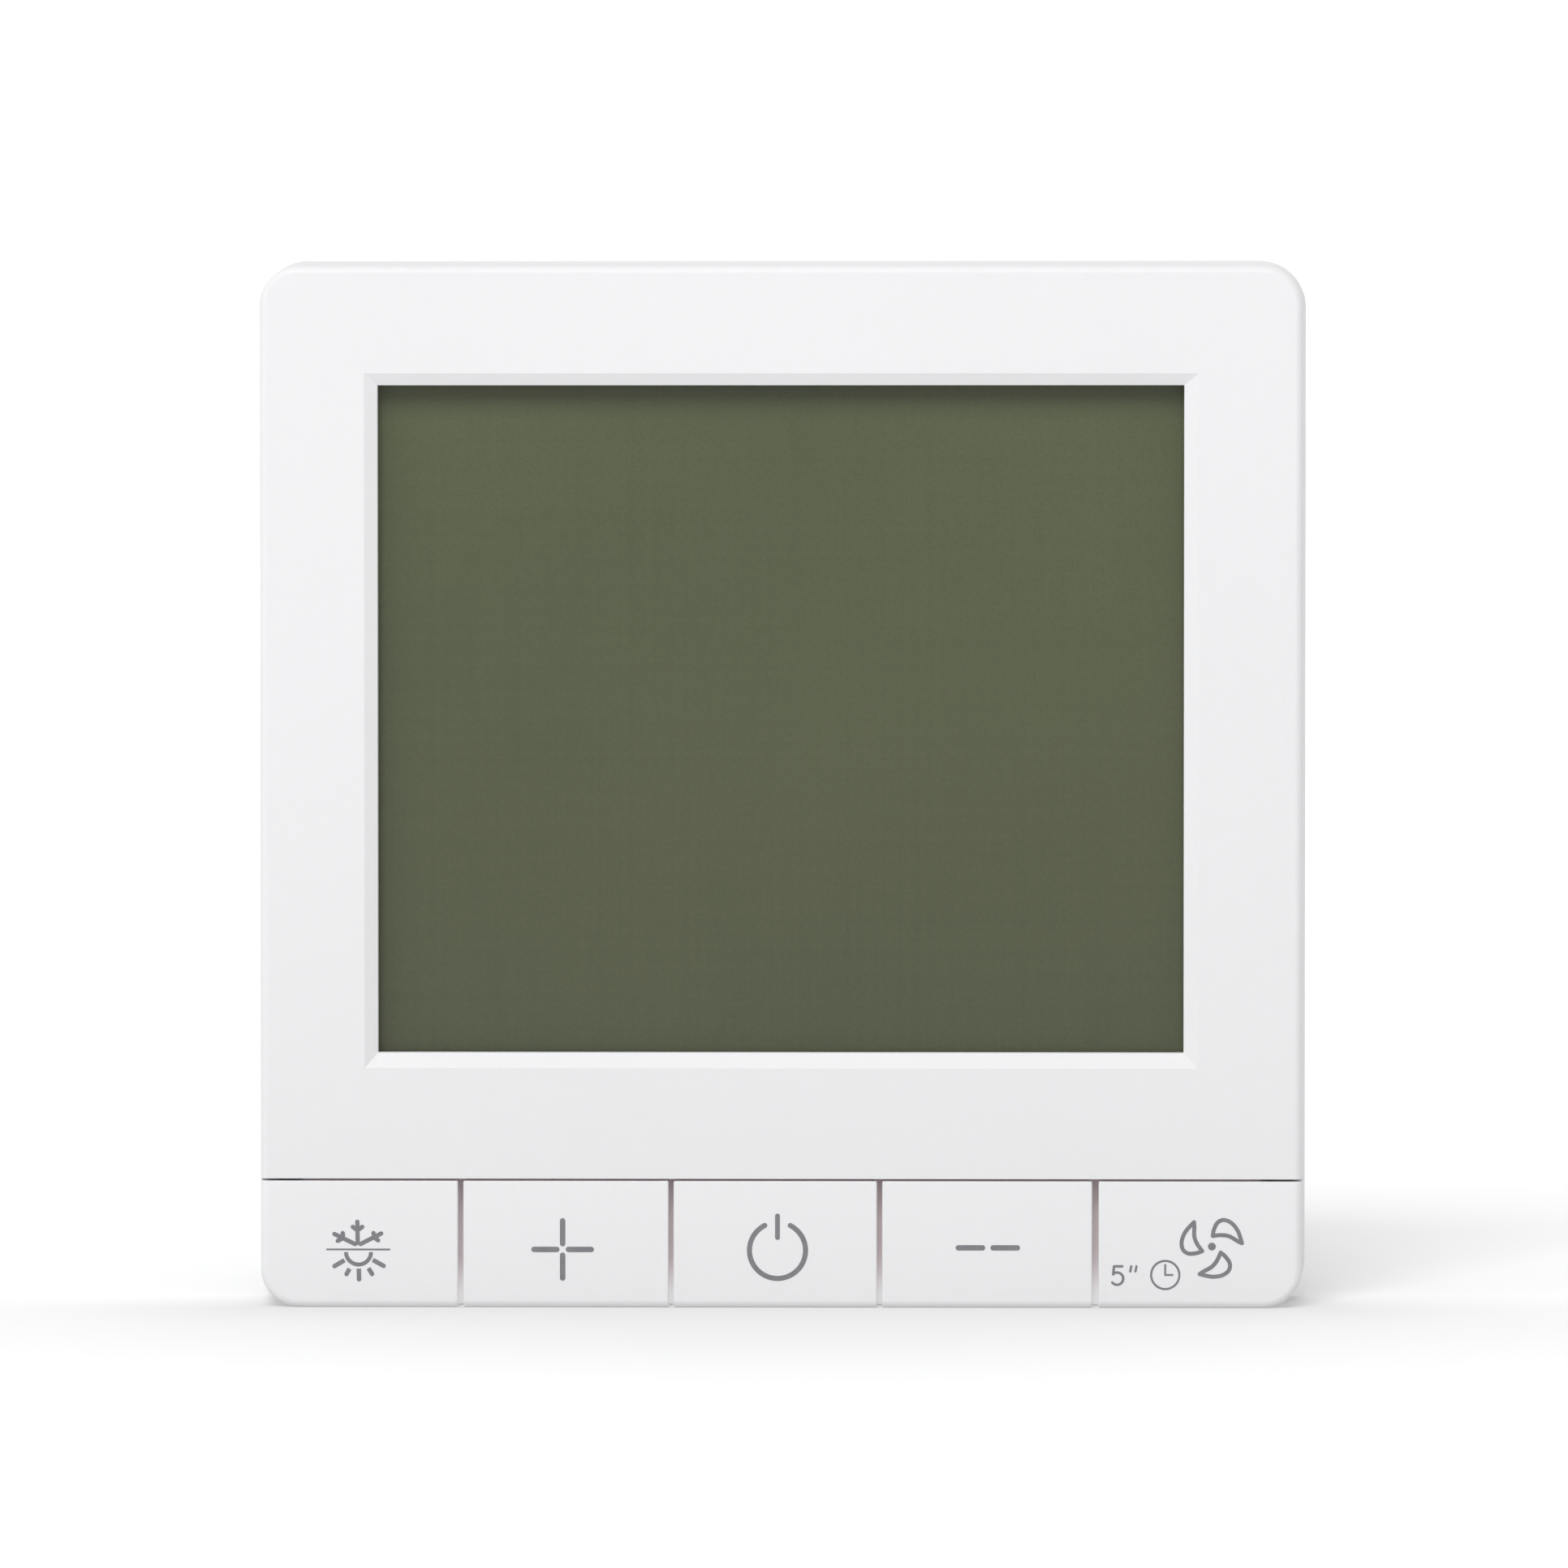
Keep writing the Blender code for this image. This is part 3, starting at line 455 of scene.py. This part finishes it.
def lcd_film():
    """The display's front film: grey-green, with faint clouds, electrode weave and specks, lighter
    towards the top as a painted reflection, and with a painted shadow along its top under the window's
    edge.
    """
    look = Look("lcd_film", 0.36, specular=0.32)
    height = look.axes()[2]
    low, high = cad_box("lcd_front_polariser")
    clouds = look.noise(0.035, 3.0)
    # painted reflection: the film is lighter towards its top
    upper = look.mix(look.ramp(clouds, 0.3, 0.7, 0, 1), (0.070, 0.081, 0.041), (0.078, 0.090, 0.043))
    lower = look.mix(look.ramp(clouds, 0.2, 0.8, 0, 1), (0.061, 0.069, 0.039), (0.069, 0.076, 0.042))
    base = look.mix(look.ramp(height, low.z * MM, high.z * MM, 0, 1), lower, upper)
    columns = look.noise(1.6, 2.0, look.stretched((1.0, 1.0, 0.01)), 0.6)
    rows = look.noise(1.6, 2.0, look.stretched((0.01, 1.0, 1.0)), 0.6)
    weave = look.ramp(look.math("ADD", columns, rows), 0.75, 1.25, 0, 0.16)
    woven = look.mix(weave, base, (0.095, 0.108, 0.056))
    dust = look.node("TexVoronoi", feature="F1")
    dust.inputs["Scale"].default_value = 0.16 / MM
    look.link(look.place, dust.inputs["Vector"])
    speck = look.ramp(dust.outputs["Distance"], 0.012, 0.02, 0.5, 0)
    dusty = look.mix(speck, woven, (0.134, 0.134, 0.114))
    grain = look.ramp(look.noise(4.0, 2.0), 0.35, 0.65, 0, 0.16)
    grained = look.mix(grain, dusty, (0.03, 0.034, 0.019))
    # painted shadow: the film darkens towards its top, under the window's edge
    edge = look.ramp(height, FILM_SHADE[0] * MM, FILM_SHADE[1] * MM, 0, 0.38)
    look.colour(look.mix(edge, grained, (0.01, 0.009, 0.007)))
    look.roughness(look.noise(0.2, 3.0), 0.33, 0.4)
    look.bump(look.noise(6.0, 2.0), 0.15, 0.004)
    return look.material


def clear_glass(name, tint):
    look = Look(name, 0.08)
    look.colour(look.mix(look.noise(0.05), tint, tuple(0.92 * c for c in tint)))
    look.shader.inputs["Transmission Weight"].default_value = 0.85
    return look.material


def layered_rubber():
    """Conductive and insulating layers, side by side along X."""
    look = Look("layered_rubber", 0.65)
    bands = look.node("TexWave", wave_type="BANDS", bands_direction="X")
    bands.inputs["Scale"].default_value = 1.2 / MM
    look.link(look.place, bands.inputs["Vector"])
    look.colour(look.mix(bands.outputs["Fac"], (0.5, 0.46, 0.4), (0.06, 0.06, 0.06)))
    look.bump(bands.outputs["Fac"], 0.2, 0.01)
    return look.material


def ink():
    """Grey screen print, slightly uneven."""
    look = Look("print_grey", 0.55, specular=0.3)
    uneven = look.ramp(look.noise(1.4, 3.0), 0.35, 0.65, 0, 1)
    look.colour(look.mix(uneven, (0.168, 0.166, 0.18), (0.19, 0.188, 0.202)))
    look.bump(look.noise(5.0), 0.2, 0.004)
    return look.material


def floor_look():
    """White, with painted light and shade. It glows faintly, more just in front of the object so that
    the front edge meets it without a dark line, and more far from it; right at the object the glow is
    weaker and the colour turns grey, as a painted contact shadow.
    """
    look = Look("studio_floor", 0.9, specular=0.1)
    x, y, _ = look.axes()
    past_zone = look.math("SUBTRACT", look.math("ABSOLUTE", x), FRONT_ZONE_HALF * MM)
    aside = look.math("MAXIMUM", past_zone, 0.0)
    ahead = look.math("MINIMUM", look.math("SUBTRACT", y, FRONT_Y * MM), 0.0)
    squares = [look.math("MULTIPLY", value, value) for value in (aside, ahead)]
    reach = look.math("SQRT", look.math("ADD", *squares))
    near = look.ramp(reach, 0.0, FRONT_ZONE_REACH * MM, 1.0, 0.0)
    in_front = look.ramp(y, FRONT_Y * MM, 0.0, 1.0, 0.0)
    share = look.math("MULTIPLY", look.math("MULTIPLY", near, near), in_front)
    # painted shade: grey just in front of the object
    look.colour(look.mix(share, FLOOR_WHITE, FLOOR_PAINTED_SHADE))
    # painted contact shadow: less of the front glow right at the object
    contact = look.ramp(reach, 0.0, CONTACT_REACH * MM, CONTACT_SHADE, 1.0)
    close = look.math("MULTIPLY", look.ramp(share, 0.0, 1.0, 0.0, FRONT_GLOW), contact)
    distance = look.node("VectorMath", operation="LENGTH")
    look.link(look.place, distance.inputs["Vector"])
    # painted light: more glow far from the object
    far = look.ramp(distance.outputs["Value"], GLOW_START * MM, GLOW_END * MM, 0.0, FLOOR_GLOW)
    look.shader.inputs["Emission Color"].default_value = (1, 1, 1, 1)
    look.link(look.math("ADD", close, far), look.shader.inputs["Emission Strength"])
    return look.material


def backdrop_look():
    look = Look("studio_backdrop", 1.0, specular=0.0)
    look.colour(look.mix(look.noise(0.002), (0.93, 0.93, 0.93), (0.92, 0.92, 0.92)))
    look.shader.inputs["Emission Color"].default_value = (1, 1, 1, 1)
    look.shader.inputs["Emission Strength"].default_value = BACKDROP
    return look.material


SHELL_LIGHT, SHELL_DARK = (0.668, 0.668, 0.677), (0.66, 0.66, 0.669)
# The keys' white is a little lighter than the shell's: painted light, making up for the light that falls
# off towards the lower part of the front.
KEY_LIGHT, KEY_DARK = (0.694, 0.694, 0.704), (0.686, 0.686, 0.696)
FRONT_PLASTIC = {"grain": 6.0, "depth": 0.012, "specular": 0.4, "painted_gap_glow": True}
LOOKS = {
    "shell_white": moulded("shell_white_look", SHELL_LIGHT, SHELL_DARK, 0.5, **FRONT_PLASTIC),
    "key_white": moulded("key_white_look", KEY_LIGHT, KEY_DARK, 0.48, **FRONT_PLASTIC),
    "frame_white": moulded("frame_white_look", (0.7, 0.7, 0.68), (0.67, 0.67, 0.65), 0.5),
    "polariser_green": lcd_film(),
    "lcd_glass": clear_glass("lcd_glass_look", (0.75, 0.8, 0.72)),
    "reflector_grey": moulded("reflector_look", (0.5, 0.53, 0.45), (0.46, 0.49, 0.42), 0.35, 8.0, 0.004),
    "light_guide": clear_glass("light_guide_look", (0.88, 0.9, 0.88)),
    "zebra_rubber": layered_rubber(),
    "led_white": moulded("led_look", (0.85, 0.82, 0.6), (0.8, 0.77, 0.5), 0.4),
    "board_green": circuit_board("board_look"),
    "switch_black": moulded("switch_look", (0.035, 0.035, 0.035), (0.025, 0.025, 0.025), 0.5),
    "stem_black": moulded("stem_look", (0.05, 0.05, 0.05), (0.035, 0.035, 0.035), 0.4),
    "chip_black": moulded("chip_look", (0.03, 0.03, 0.032), (0.02, 0.02, 0.022), 0.55, 5.0),
    "thermistor_black": moulded("thermistor_look", (0.03, 0.03, 0.03), (0.05, 0.05, 0.05), 0.25),
    "header_black": moulded("header_look", (0.025, 0.025, 0.025), (0.035, 0.035, 0.035), 0.5),
    "screw_steel": plated("screw_look", (0.68, 0.68, 0.66), (0.56, 0.56, 0.55), 0.32, (1.0, 1.0, 1.0)),
    "zinc_steel": plated("zinc_look", (0.66, 0.67, 0.68), (0.52, 0.53, 0.55), 0.38),
    "case_white": moulded("case_look", (0.68, 0.68, 0.66), (0.65, 0.65, 0.63), 0.5, 2.0, 0.02),
    "terminal_green": moulded("terminal_look", (0.03, 0.24, 0.09), (0.025, 0.2, 0.075), 0.42),
    "relay_blue": moulded("relay_look", (0.03, 0.1, 0.33), (0.025, 0.085, 0.28), 0.35),
    "ferrite_tape": moulded(
        "transformer_look", (0.62, 0.46, 0.06), (0.5, 0.36, 0.05), 0.4, 1.0, 0.03, 0.3
    ),
    "capacitor_sleeve": moulded("capacitor_look", (0.02, 0.02, 0.05), (0.03, 0.03, 0.06), 0.3),
    "varistor_blue": moulded("varistor_look", (0.04, 0.14, 0.42), (0.03, 0.11, 0.35), 0.35, 1.0, 0.04),
    "fuse_ceramic": moulded("fuse_look", (0.68, 0.64, 0.54), (0.6, 0.56, 0.47), 0.4),
}
INK = ink()


def dress_cad_nodes():
    """Gives every CAD node the material of its slot in the record."""
    for part in frame["record"]["subparts"]:
        node = frame["nodes"][part["node"]]
        node.data.materials.clear()
        node.data.materials.append(LOOKS[part["material_slot"]])


# ---- the cover ----------------------------------------------------------------------------------
def window_shape():
    """The opening with its sloping sides, run out past the front face."""
    x0, x1, z0, z1 = WINDOW
    left, right, below, above = CHAMFER
    outwards = (CHAMFER_DEPTH + OVER) / CHAMFER_DEPTH

    def ring(y, share):
        x_low, x_high = x0 - left * share, x1 + right * share
        z_low, z_high = z0 - below * share, z1 + above * share
        return [(x_low, y, z_low), (x_high, y, z_low), (x_high, y, z_high), (x_low, y, z_high)]

    slope_end = FRONT_Y + CHAMFER_DEPTH
    return loft([ring(FRONT_Y - OVER, outwards), ring(slope_end, 0), ring(FRONT_Y + PLATE_T + OVER, 0)])


def build_cover():
    plate_rear = FRONT_Y + PLATE_T
    inner = FRONT_HALF + LEAN * PLATE_T - WALL
    under = -REAR_HALF - OVER
    lower_cavity = loft([body_ring(DECK_REAR, WALL), body_ring(RIM_Y + OVER, WALL)])
    upper_outline = [(-inner, SHELF_TOP), (inner, SHELF_TOP), (inner, inner), (-inner, inner)]
    upper_cavity = prism(upper_outline, plate_rear, DECK_REAR + OVER)
    key_space = box(-FAR, FAR, FRONT_Y - OVER, DECK_FRONT, -FAR, COVER_BOTTOM)
    notch = box(-NOTCH_HALF, NOTCH_HALF, NOTCH_FRONT, OVER, under, UNDERSIDE_CUT_TOP)
    post_holes = []
    for x in POST_X:
        sides = (x - POST_HOLE_HALF, x + POST_HOLE_HALF)
        heights = (POST_Z - POST_HOLE_HALF, POST_Z + POST_HOLE_HALF)
        post_holes.append(box(*sides, DECK_FRONT - OVER, DECK_REAR + OVER, *heights))
    vents = []
    for x in row(VENT_COUNT, VENT_PITCH):
        sides = (x - VENT_HALF, x + VENT_HALF)
        vents.append(box(*sides, VENT_FRONT, VENT_REAR, under, UNDERSIDE_CUT_TOP))
    catches = []
    for side in (-1, 1):
        sides = sorted(side * x for x in CATCH_SIDES)
        for z in CATCH_Z:
            catches.append(box(*sides, CATCH_FRONT, CATCH_REAR, z - CATCH_HALF, z + CATCH_HALF))
    steps = [(CUT, [shape]) for shape in (lower_cavity, upper_cavity, window_shape(), key_space, notch)]
    steps += [(CUT, post_holes), (CUT, vents), (JOIN, catches)]
    cover = carve("cover", body_shape(FRONT_Y, RIM_Y), steps)
    soften(cover, SOFT_EDGE, angle=CHAMFER_ANGLE)
    finish_piece(cover, LOOKS["shell_white"], "shell_white", "front_unit", "front_cover")


# ---- the keys -------------------------------------------------------------------------------------
def build_key(name):
    low, high = cad_box(f"key_{name}")
    left = low.x if name != KEYS[0] else -FAR
    right = high.x if name != KEYS[-1] else FAR
    rear = FRONT_Y + KEY_T
    limits = box(left, right, FRONT_Y - OVER, rear + OVER, -FAR, high.z)
    key = carve(f"keycap_{name}", body_shape(FRONT_Y + KEY_SET_BACK, rear), [(KEEP, [limits])])
    soften(key, KEY_EDGE)
    finish_piece(key, LOOKS["key_white"], "key_white", f"{name}_key", f"key_{name}")


# ---- the printed pictograms -------------------------------------------------------------------------
def ribbon(points, width, round_start=True, round_end=True, closed=False, level=0):
    """A printed line of even width along (x, z) points, as a thin solid on the key's face.

    Strokes that cross get different levels, so that no two faces lie in one plane.
    """
    count = len(points)
    left, right = [], []
    for i, (x, z) in enumerate(points):
        before = points[i - 1] if i or closed else points[i]
        after = points[(i + 1) % count] if i < count - 1 or closed else points[i]
        along = Vector((after[0] - before[0], after[1] - before[1])).normalized()
        for side, sign in ((left, 1), (right, -1)):
            side.append((x - sign * along.y * width / 2, z + sign * along.x * width / 2))
    front = PRINT_FACE - INK_T + INK_STEP * level
    rear = PRINT_FACE + INK_T
    if closed:
        return ring_solid(left, right, front, rear)

    def cap(centre, rim):
        start = math.degrees(math.atan2(rim[1] - centre[1], rim[0] - centre[0]))
        return arc(*centre, width / 2, start, start - 180, CAP_STEPS)[1:-1]

    end_cap = cap(points[-1], left[-1]) if round_end else []
    start_cap = cap(points[0], right[0]) if round_start else []
    return prism(left + end_cap + right[::-1] + start_cap, front, rear)


def ring_solid(outer, inner, y0, y1):
    """A closed band between two outlines with the same number of points."""

    def add(bm):
        loops = []
        for y in (y0, y1):
            for outline in (outer, inner):
                loops.append([bm.verts.new((x * MM, y * MM, z * MM)) for x, z in outline])
        front_outer, front_inner, rear_outer, rear_inner = loops
        around = (front_outer, front_inner, rear_inner, rear_outer, front_outer)
        count = len(outer)
        for first, second in zip(around, around[1:]):
            for i in range(count):
                j = (i + 1) % count
                bm.faces.new((first[i], first[j], second[j], second[i]))

    return add


def capsule(start, end, width, level=0):
    """A straight printed line whose round ends reach start and end."""
    direction = Vector((end[0] - start[0], end[1] - start[1])).normalized() * width / 2
    first = (start[0] + direction.x, start[1] + direction.y)
    last = (end[0] - direction.x, end[1] - direction.y)
    return ribbon([first, last], width, level=level)


def smooth(points, steps=5):
    """A Catmull-Rom curve through the points."""
    last = len(points) - 1
    found = []
    for i in range(last):
        near = [points[min(max(i + k, 0), last)] for k in (-1, 0, 1, 2)]
        for step in range(steps):
            t = step / steps
            point = []
            for a, b, c, d in zip(*near):
                square = 2 * a - 5 * b + 4 * c - d
                cube = 3 * b - a - 3 * c + d
                point.append(0.5 * (2 * b + (c - a) * t + square * t * t + cube * t**3))
            found.append(tuple(point))
    return found + [points[-1]]


def placed(points, x, z, turn=0.0):
    """Points turned by degrees about the origin and moved to x, z."""
    c, s = math.cos(math.radians(turn)), math.sin(math.radians(turn))
    return [(x + px * c - pz * s, z + px * s + pz * c) for px, pz in points]


def mode_print():
    """Half a snowflake over half a sun, for cooling and heating."""
    x, z = -34.344, -37.56
    flake_width, horizon_width, sun_width, ray_width = 0.355, 0.15, 0.33, 0.37
    flake = [
        ((-0.08, 2.43), (-0.04, 0.35)),
        ((-0.58, 1.94), (-0.08, 1.55)),
        ((0.46, 1.94), (-0.05, 1.55)),
        ((-2.1, 1.33), (-0.1, 0.36)),
        ((2.02, 1.38), (0.03, 0.36)),
        ((-1.3, 1.5), (-1.21, 0.97)),
        ((-1.83, 0.61), (-1.21, 0.94)),
        ((1.22, 1.51), (1.27, 1.05)),
        ((1.76, 0.64), (1.22, 1.02)),
    ]
    shapes = []
    for level, (start, end) in enumerate(flake):
        shapes.append(capsule(*placed([start, end], x, z), flake_width, level))
    horizon = [(x - 2.6, z), (x + 2.6, z)]
    shapes.append(ribbon(horizon, horizon_width, False, False, level=10))
    sun_x, sun_z = x + 0.02, z - 0.21
    shapes.append(ribbon(arc(sun_x, sun_z, 1.02, 180, 360, 24), sun_width, False, False, level=11))
    rays = (
        (210.5, 1.32, 2.45),
        (241.5, 1.54, 2.22),
        (271, 1.35, 2.4),
        (301.5, 1.54, 2.28),
        (331, 1.32, 2.51),
    )
    for turn, start, end in rays:
        ray = placed([(start, 0), (end - 0.18, 0)], sun_x, sun_z, turn)
        shapes.append(ribbon(ray, ray_width, False, True, level=12))
    return shapes


def spokes(x, z, inner, outer, width, turns):
    """Equal strokes around x, z, from one radius to another."""
    stroke = [(inner, 0), (outer, 0)]
    return [capsule(*placed(stroke, x, z, turn), width) for turn in turns]


def plus_print():
    return spokes(-17.73, -37.54, 0.25, 2.55, 0.445, (0, 90, 180, 270))


def power_print():
    """A ring that is open at the top, with a stroke in the opening."""
    x, z = -0.27, -37.6
    opening = 27
    ring = ribbon(arc(x, z, 2.28, 90 + opening, 450 - opening, 60), 0.415)
    return [ring, capsule((x, -34.6), (x, -36.75), 0.39)]


def minus_print():
    return spokes(16.81, -37.37, 0.21, 2.62, 0.44, (0, 180))


def fan_blades():
    """Three outlined blades around a hub."""
    x, z = 34.99, -37.24
    width = 0.33
    tip, root = (2.44, 0.27), (0.07, 0.86)
    leading = [root, (0.16, 1.36), (0.46, 1.94), (0.98, 2.16), (1.6, 1.9), (2.12, 1.24), tip]
    trailing = [tip, (2.1, 0.43), (1.43, 0.82), (0.77, 0.93), root]
    shapes = [prism(arc(x, z, 0.32, 0, 345, 23), PRINT_FACE - INK_T, PRINT_FACE + INK_T)]
    for turn in (0, 120, 240):
        shapes.append(ribbon(placed(smooth(leading), x, z, turn), width))
        shapes.append(ribbon(placed(smooth(trailing), x, z, turn), width, level=1))
    return shapes


def clock():
    x, z = 31.21, -39.56
    rim = ribbon(arc(x, z, 1.145, 0, 352.5, 47), 0.175, closed=True)
    width = 0.165
    minute_hand = capsule((x, z - 0.09), (x, z + 0.9), width)
    hour_hand = capsule((x - 0.09, z), (x + 0.67, z), width, 1)
    return [rim, minute_hand, hour_hand]


def five_seconds():
    """A figure five and a seconds mark."""
    x, z = 27.32, -38.86
    width = 0.21
    shapes = [
        capsule((x - 0.36, z), (x + 0.5, z), width, 1),
        capsule((x - 0.26, z + 0.1), (x - 0.34, z - 0.76), width, 2),
        ribbon(arc(x - 0.02, z - 1.0, 0.5, 125, -140, 24), width, level=3),
    ]
    for step in (0.0, 0.42):
        top = x + 1.15 + step
        shapes.append(capsule((top, z + 0.1), (top - 0.12, z - 0.5), 0.19))
    return shapes


def fan_print():
    return fan_blades() + clock() + five_seconds()


PRINTS = {
    "mode": mode_print,
    "plus": plus_print,
    "power": power_print,
    "minus": minus_print,
    "fan": fan_print,
}


def build_prints():
    for name, shapes in PRINTS.items():
        print_piece = show(f"print_{name}", mesh_of(f"print_{name}", shapes()))
        finish_piece(print_piece, INK, "key_white", f"{name}_key")


# ---- CAD nodes with softer edges ----------------------------------------------------------------
SOFTENED = {
    "power_case": 0.25,
    "terminal_block": 0.12,
    "power_lid": 0.1,
    "pin_header": 0.05,
    "rear_cover": 0.1,
    "mounting_plate": 0.08,
    "relay_high": 0.3,
    "relay_medium": 0.3,
    "relay_low": 0.3,
    "relay_valve": 0.3,
}


def soften_cad_nodes():
    for name, width in SOFTENED.items():
        node = frame["nodes"][name]
        weld = node.modifiers.new("weld", "WELD")
        weld.merge_threshold = 1e-6
        soften(node, width, 2)


# ---- studio ---------------------------------------------------------------------------------------
def build_stage():
    """A pale floor, and a lit white backdrop well behind the object."""
    half, behind, base, top = (size * MM for size in (FLOOR_HALF, BACKDROP_Y, FLOOR_Z, BACKDROP_TOP))
    seam = [(-half, behind, base), (half, behind, base)]
    planes = (
        ("studio_floor", [(-half, -half, base), (half, -half, base), *seam[::-1]], floor_look()),
        ("studio_backdrop", [*seam, (half, behind, top), (-half, behind, top)], backdrop_look()),
    )
    for name, corners, look in planes:
        mesh = bpy.data.meshes.new(name)
        mesh.from_pydata(corners, [], [(0, 1, 2, 3)])
        mesh.materials.append(look)
        show(name, mesh)


def area_light(name, direction, distance, size, watts):
    """A square softbox that looks at the object's centre from a direction."""
    data = bpy.data.lights.new(name, "AREA")
    data.shape = "SQUARE"
    data.size = size
    data.energy = watts
    light = show(name, data)
    towards = Vector(direction)
    light.location = towards * distance
    light.rotation_mode = "QUATERNION"
    light.rotation_quaternion = towards.to_track_quat("Z", "Y")


def heading(turn, lift):
    """The direction of a light, in degrees to the right of the object's front and above it."""
    turn, lift = math.radians(turn), math.radians(lift)
    return math.sin(turn) * math.cos(lift), -math.cos(turn) * math.cos(lift), math.sin(lift)


def build_light():
    world = bpy.data.worlds.new("studio")
    world.use_nodes = True
    background = world.node_tree.nodes["Background"]
    background.inputs["Color"].default_value = (1, 1, 1, 1)
    background.inputs["Strength"].default_value = WORLD
    bpy.context.scene.world = world
    area_light("key_light", heading(-10, 41), 1.4, 0.45, KEY_WATTS)
    area_light("left_fill", heading(-60, 12), 1.6, 1.2, LEFT_WATTS)
    area_light("top_fill", heading(0, 88), 1.6, 1.6, TOP_WATTS)


def build_camera():
    """Slightly to the right of the middle and above it, with a long lens."""
    distance, seen_width = 800.0, 127.1
    eye = Vector((12.9, FRONT_Y - distance, 23.8)) * MM
    aim = Vector((0.26, FRONT_Y, 0.3)) * MM
    data = bpy.data.cameras.new("camera")
    data.sensor_width = 36.0
    data.lens = data.sensor_width * distance / seen_width
    data.clip_start = 0.01
    camera = show("camera", data)
    camera.location = eye
    camera.rotation_mode = "QUATERNION"
    camera.rotation_quaternion = (aim - eye).to_track_quat("-Z", "Y")
    bpy.context.scene.camera = camera
    bpy.context.scene.view_settings.view_transform = "Standard"


build_camera()
dress_cad_nodes()
build_cover()
for key_name in KEYS:
    build_key(key_name)
build_prints()
soften_cad_nodes()
build_stage()
build_light()

bpy.context.view_layer.update()
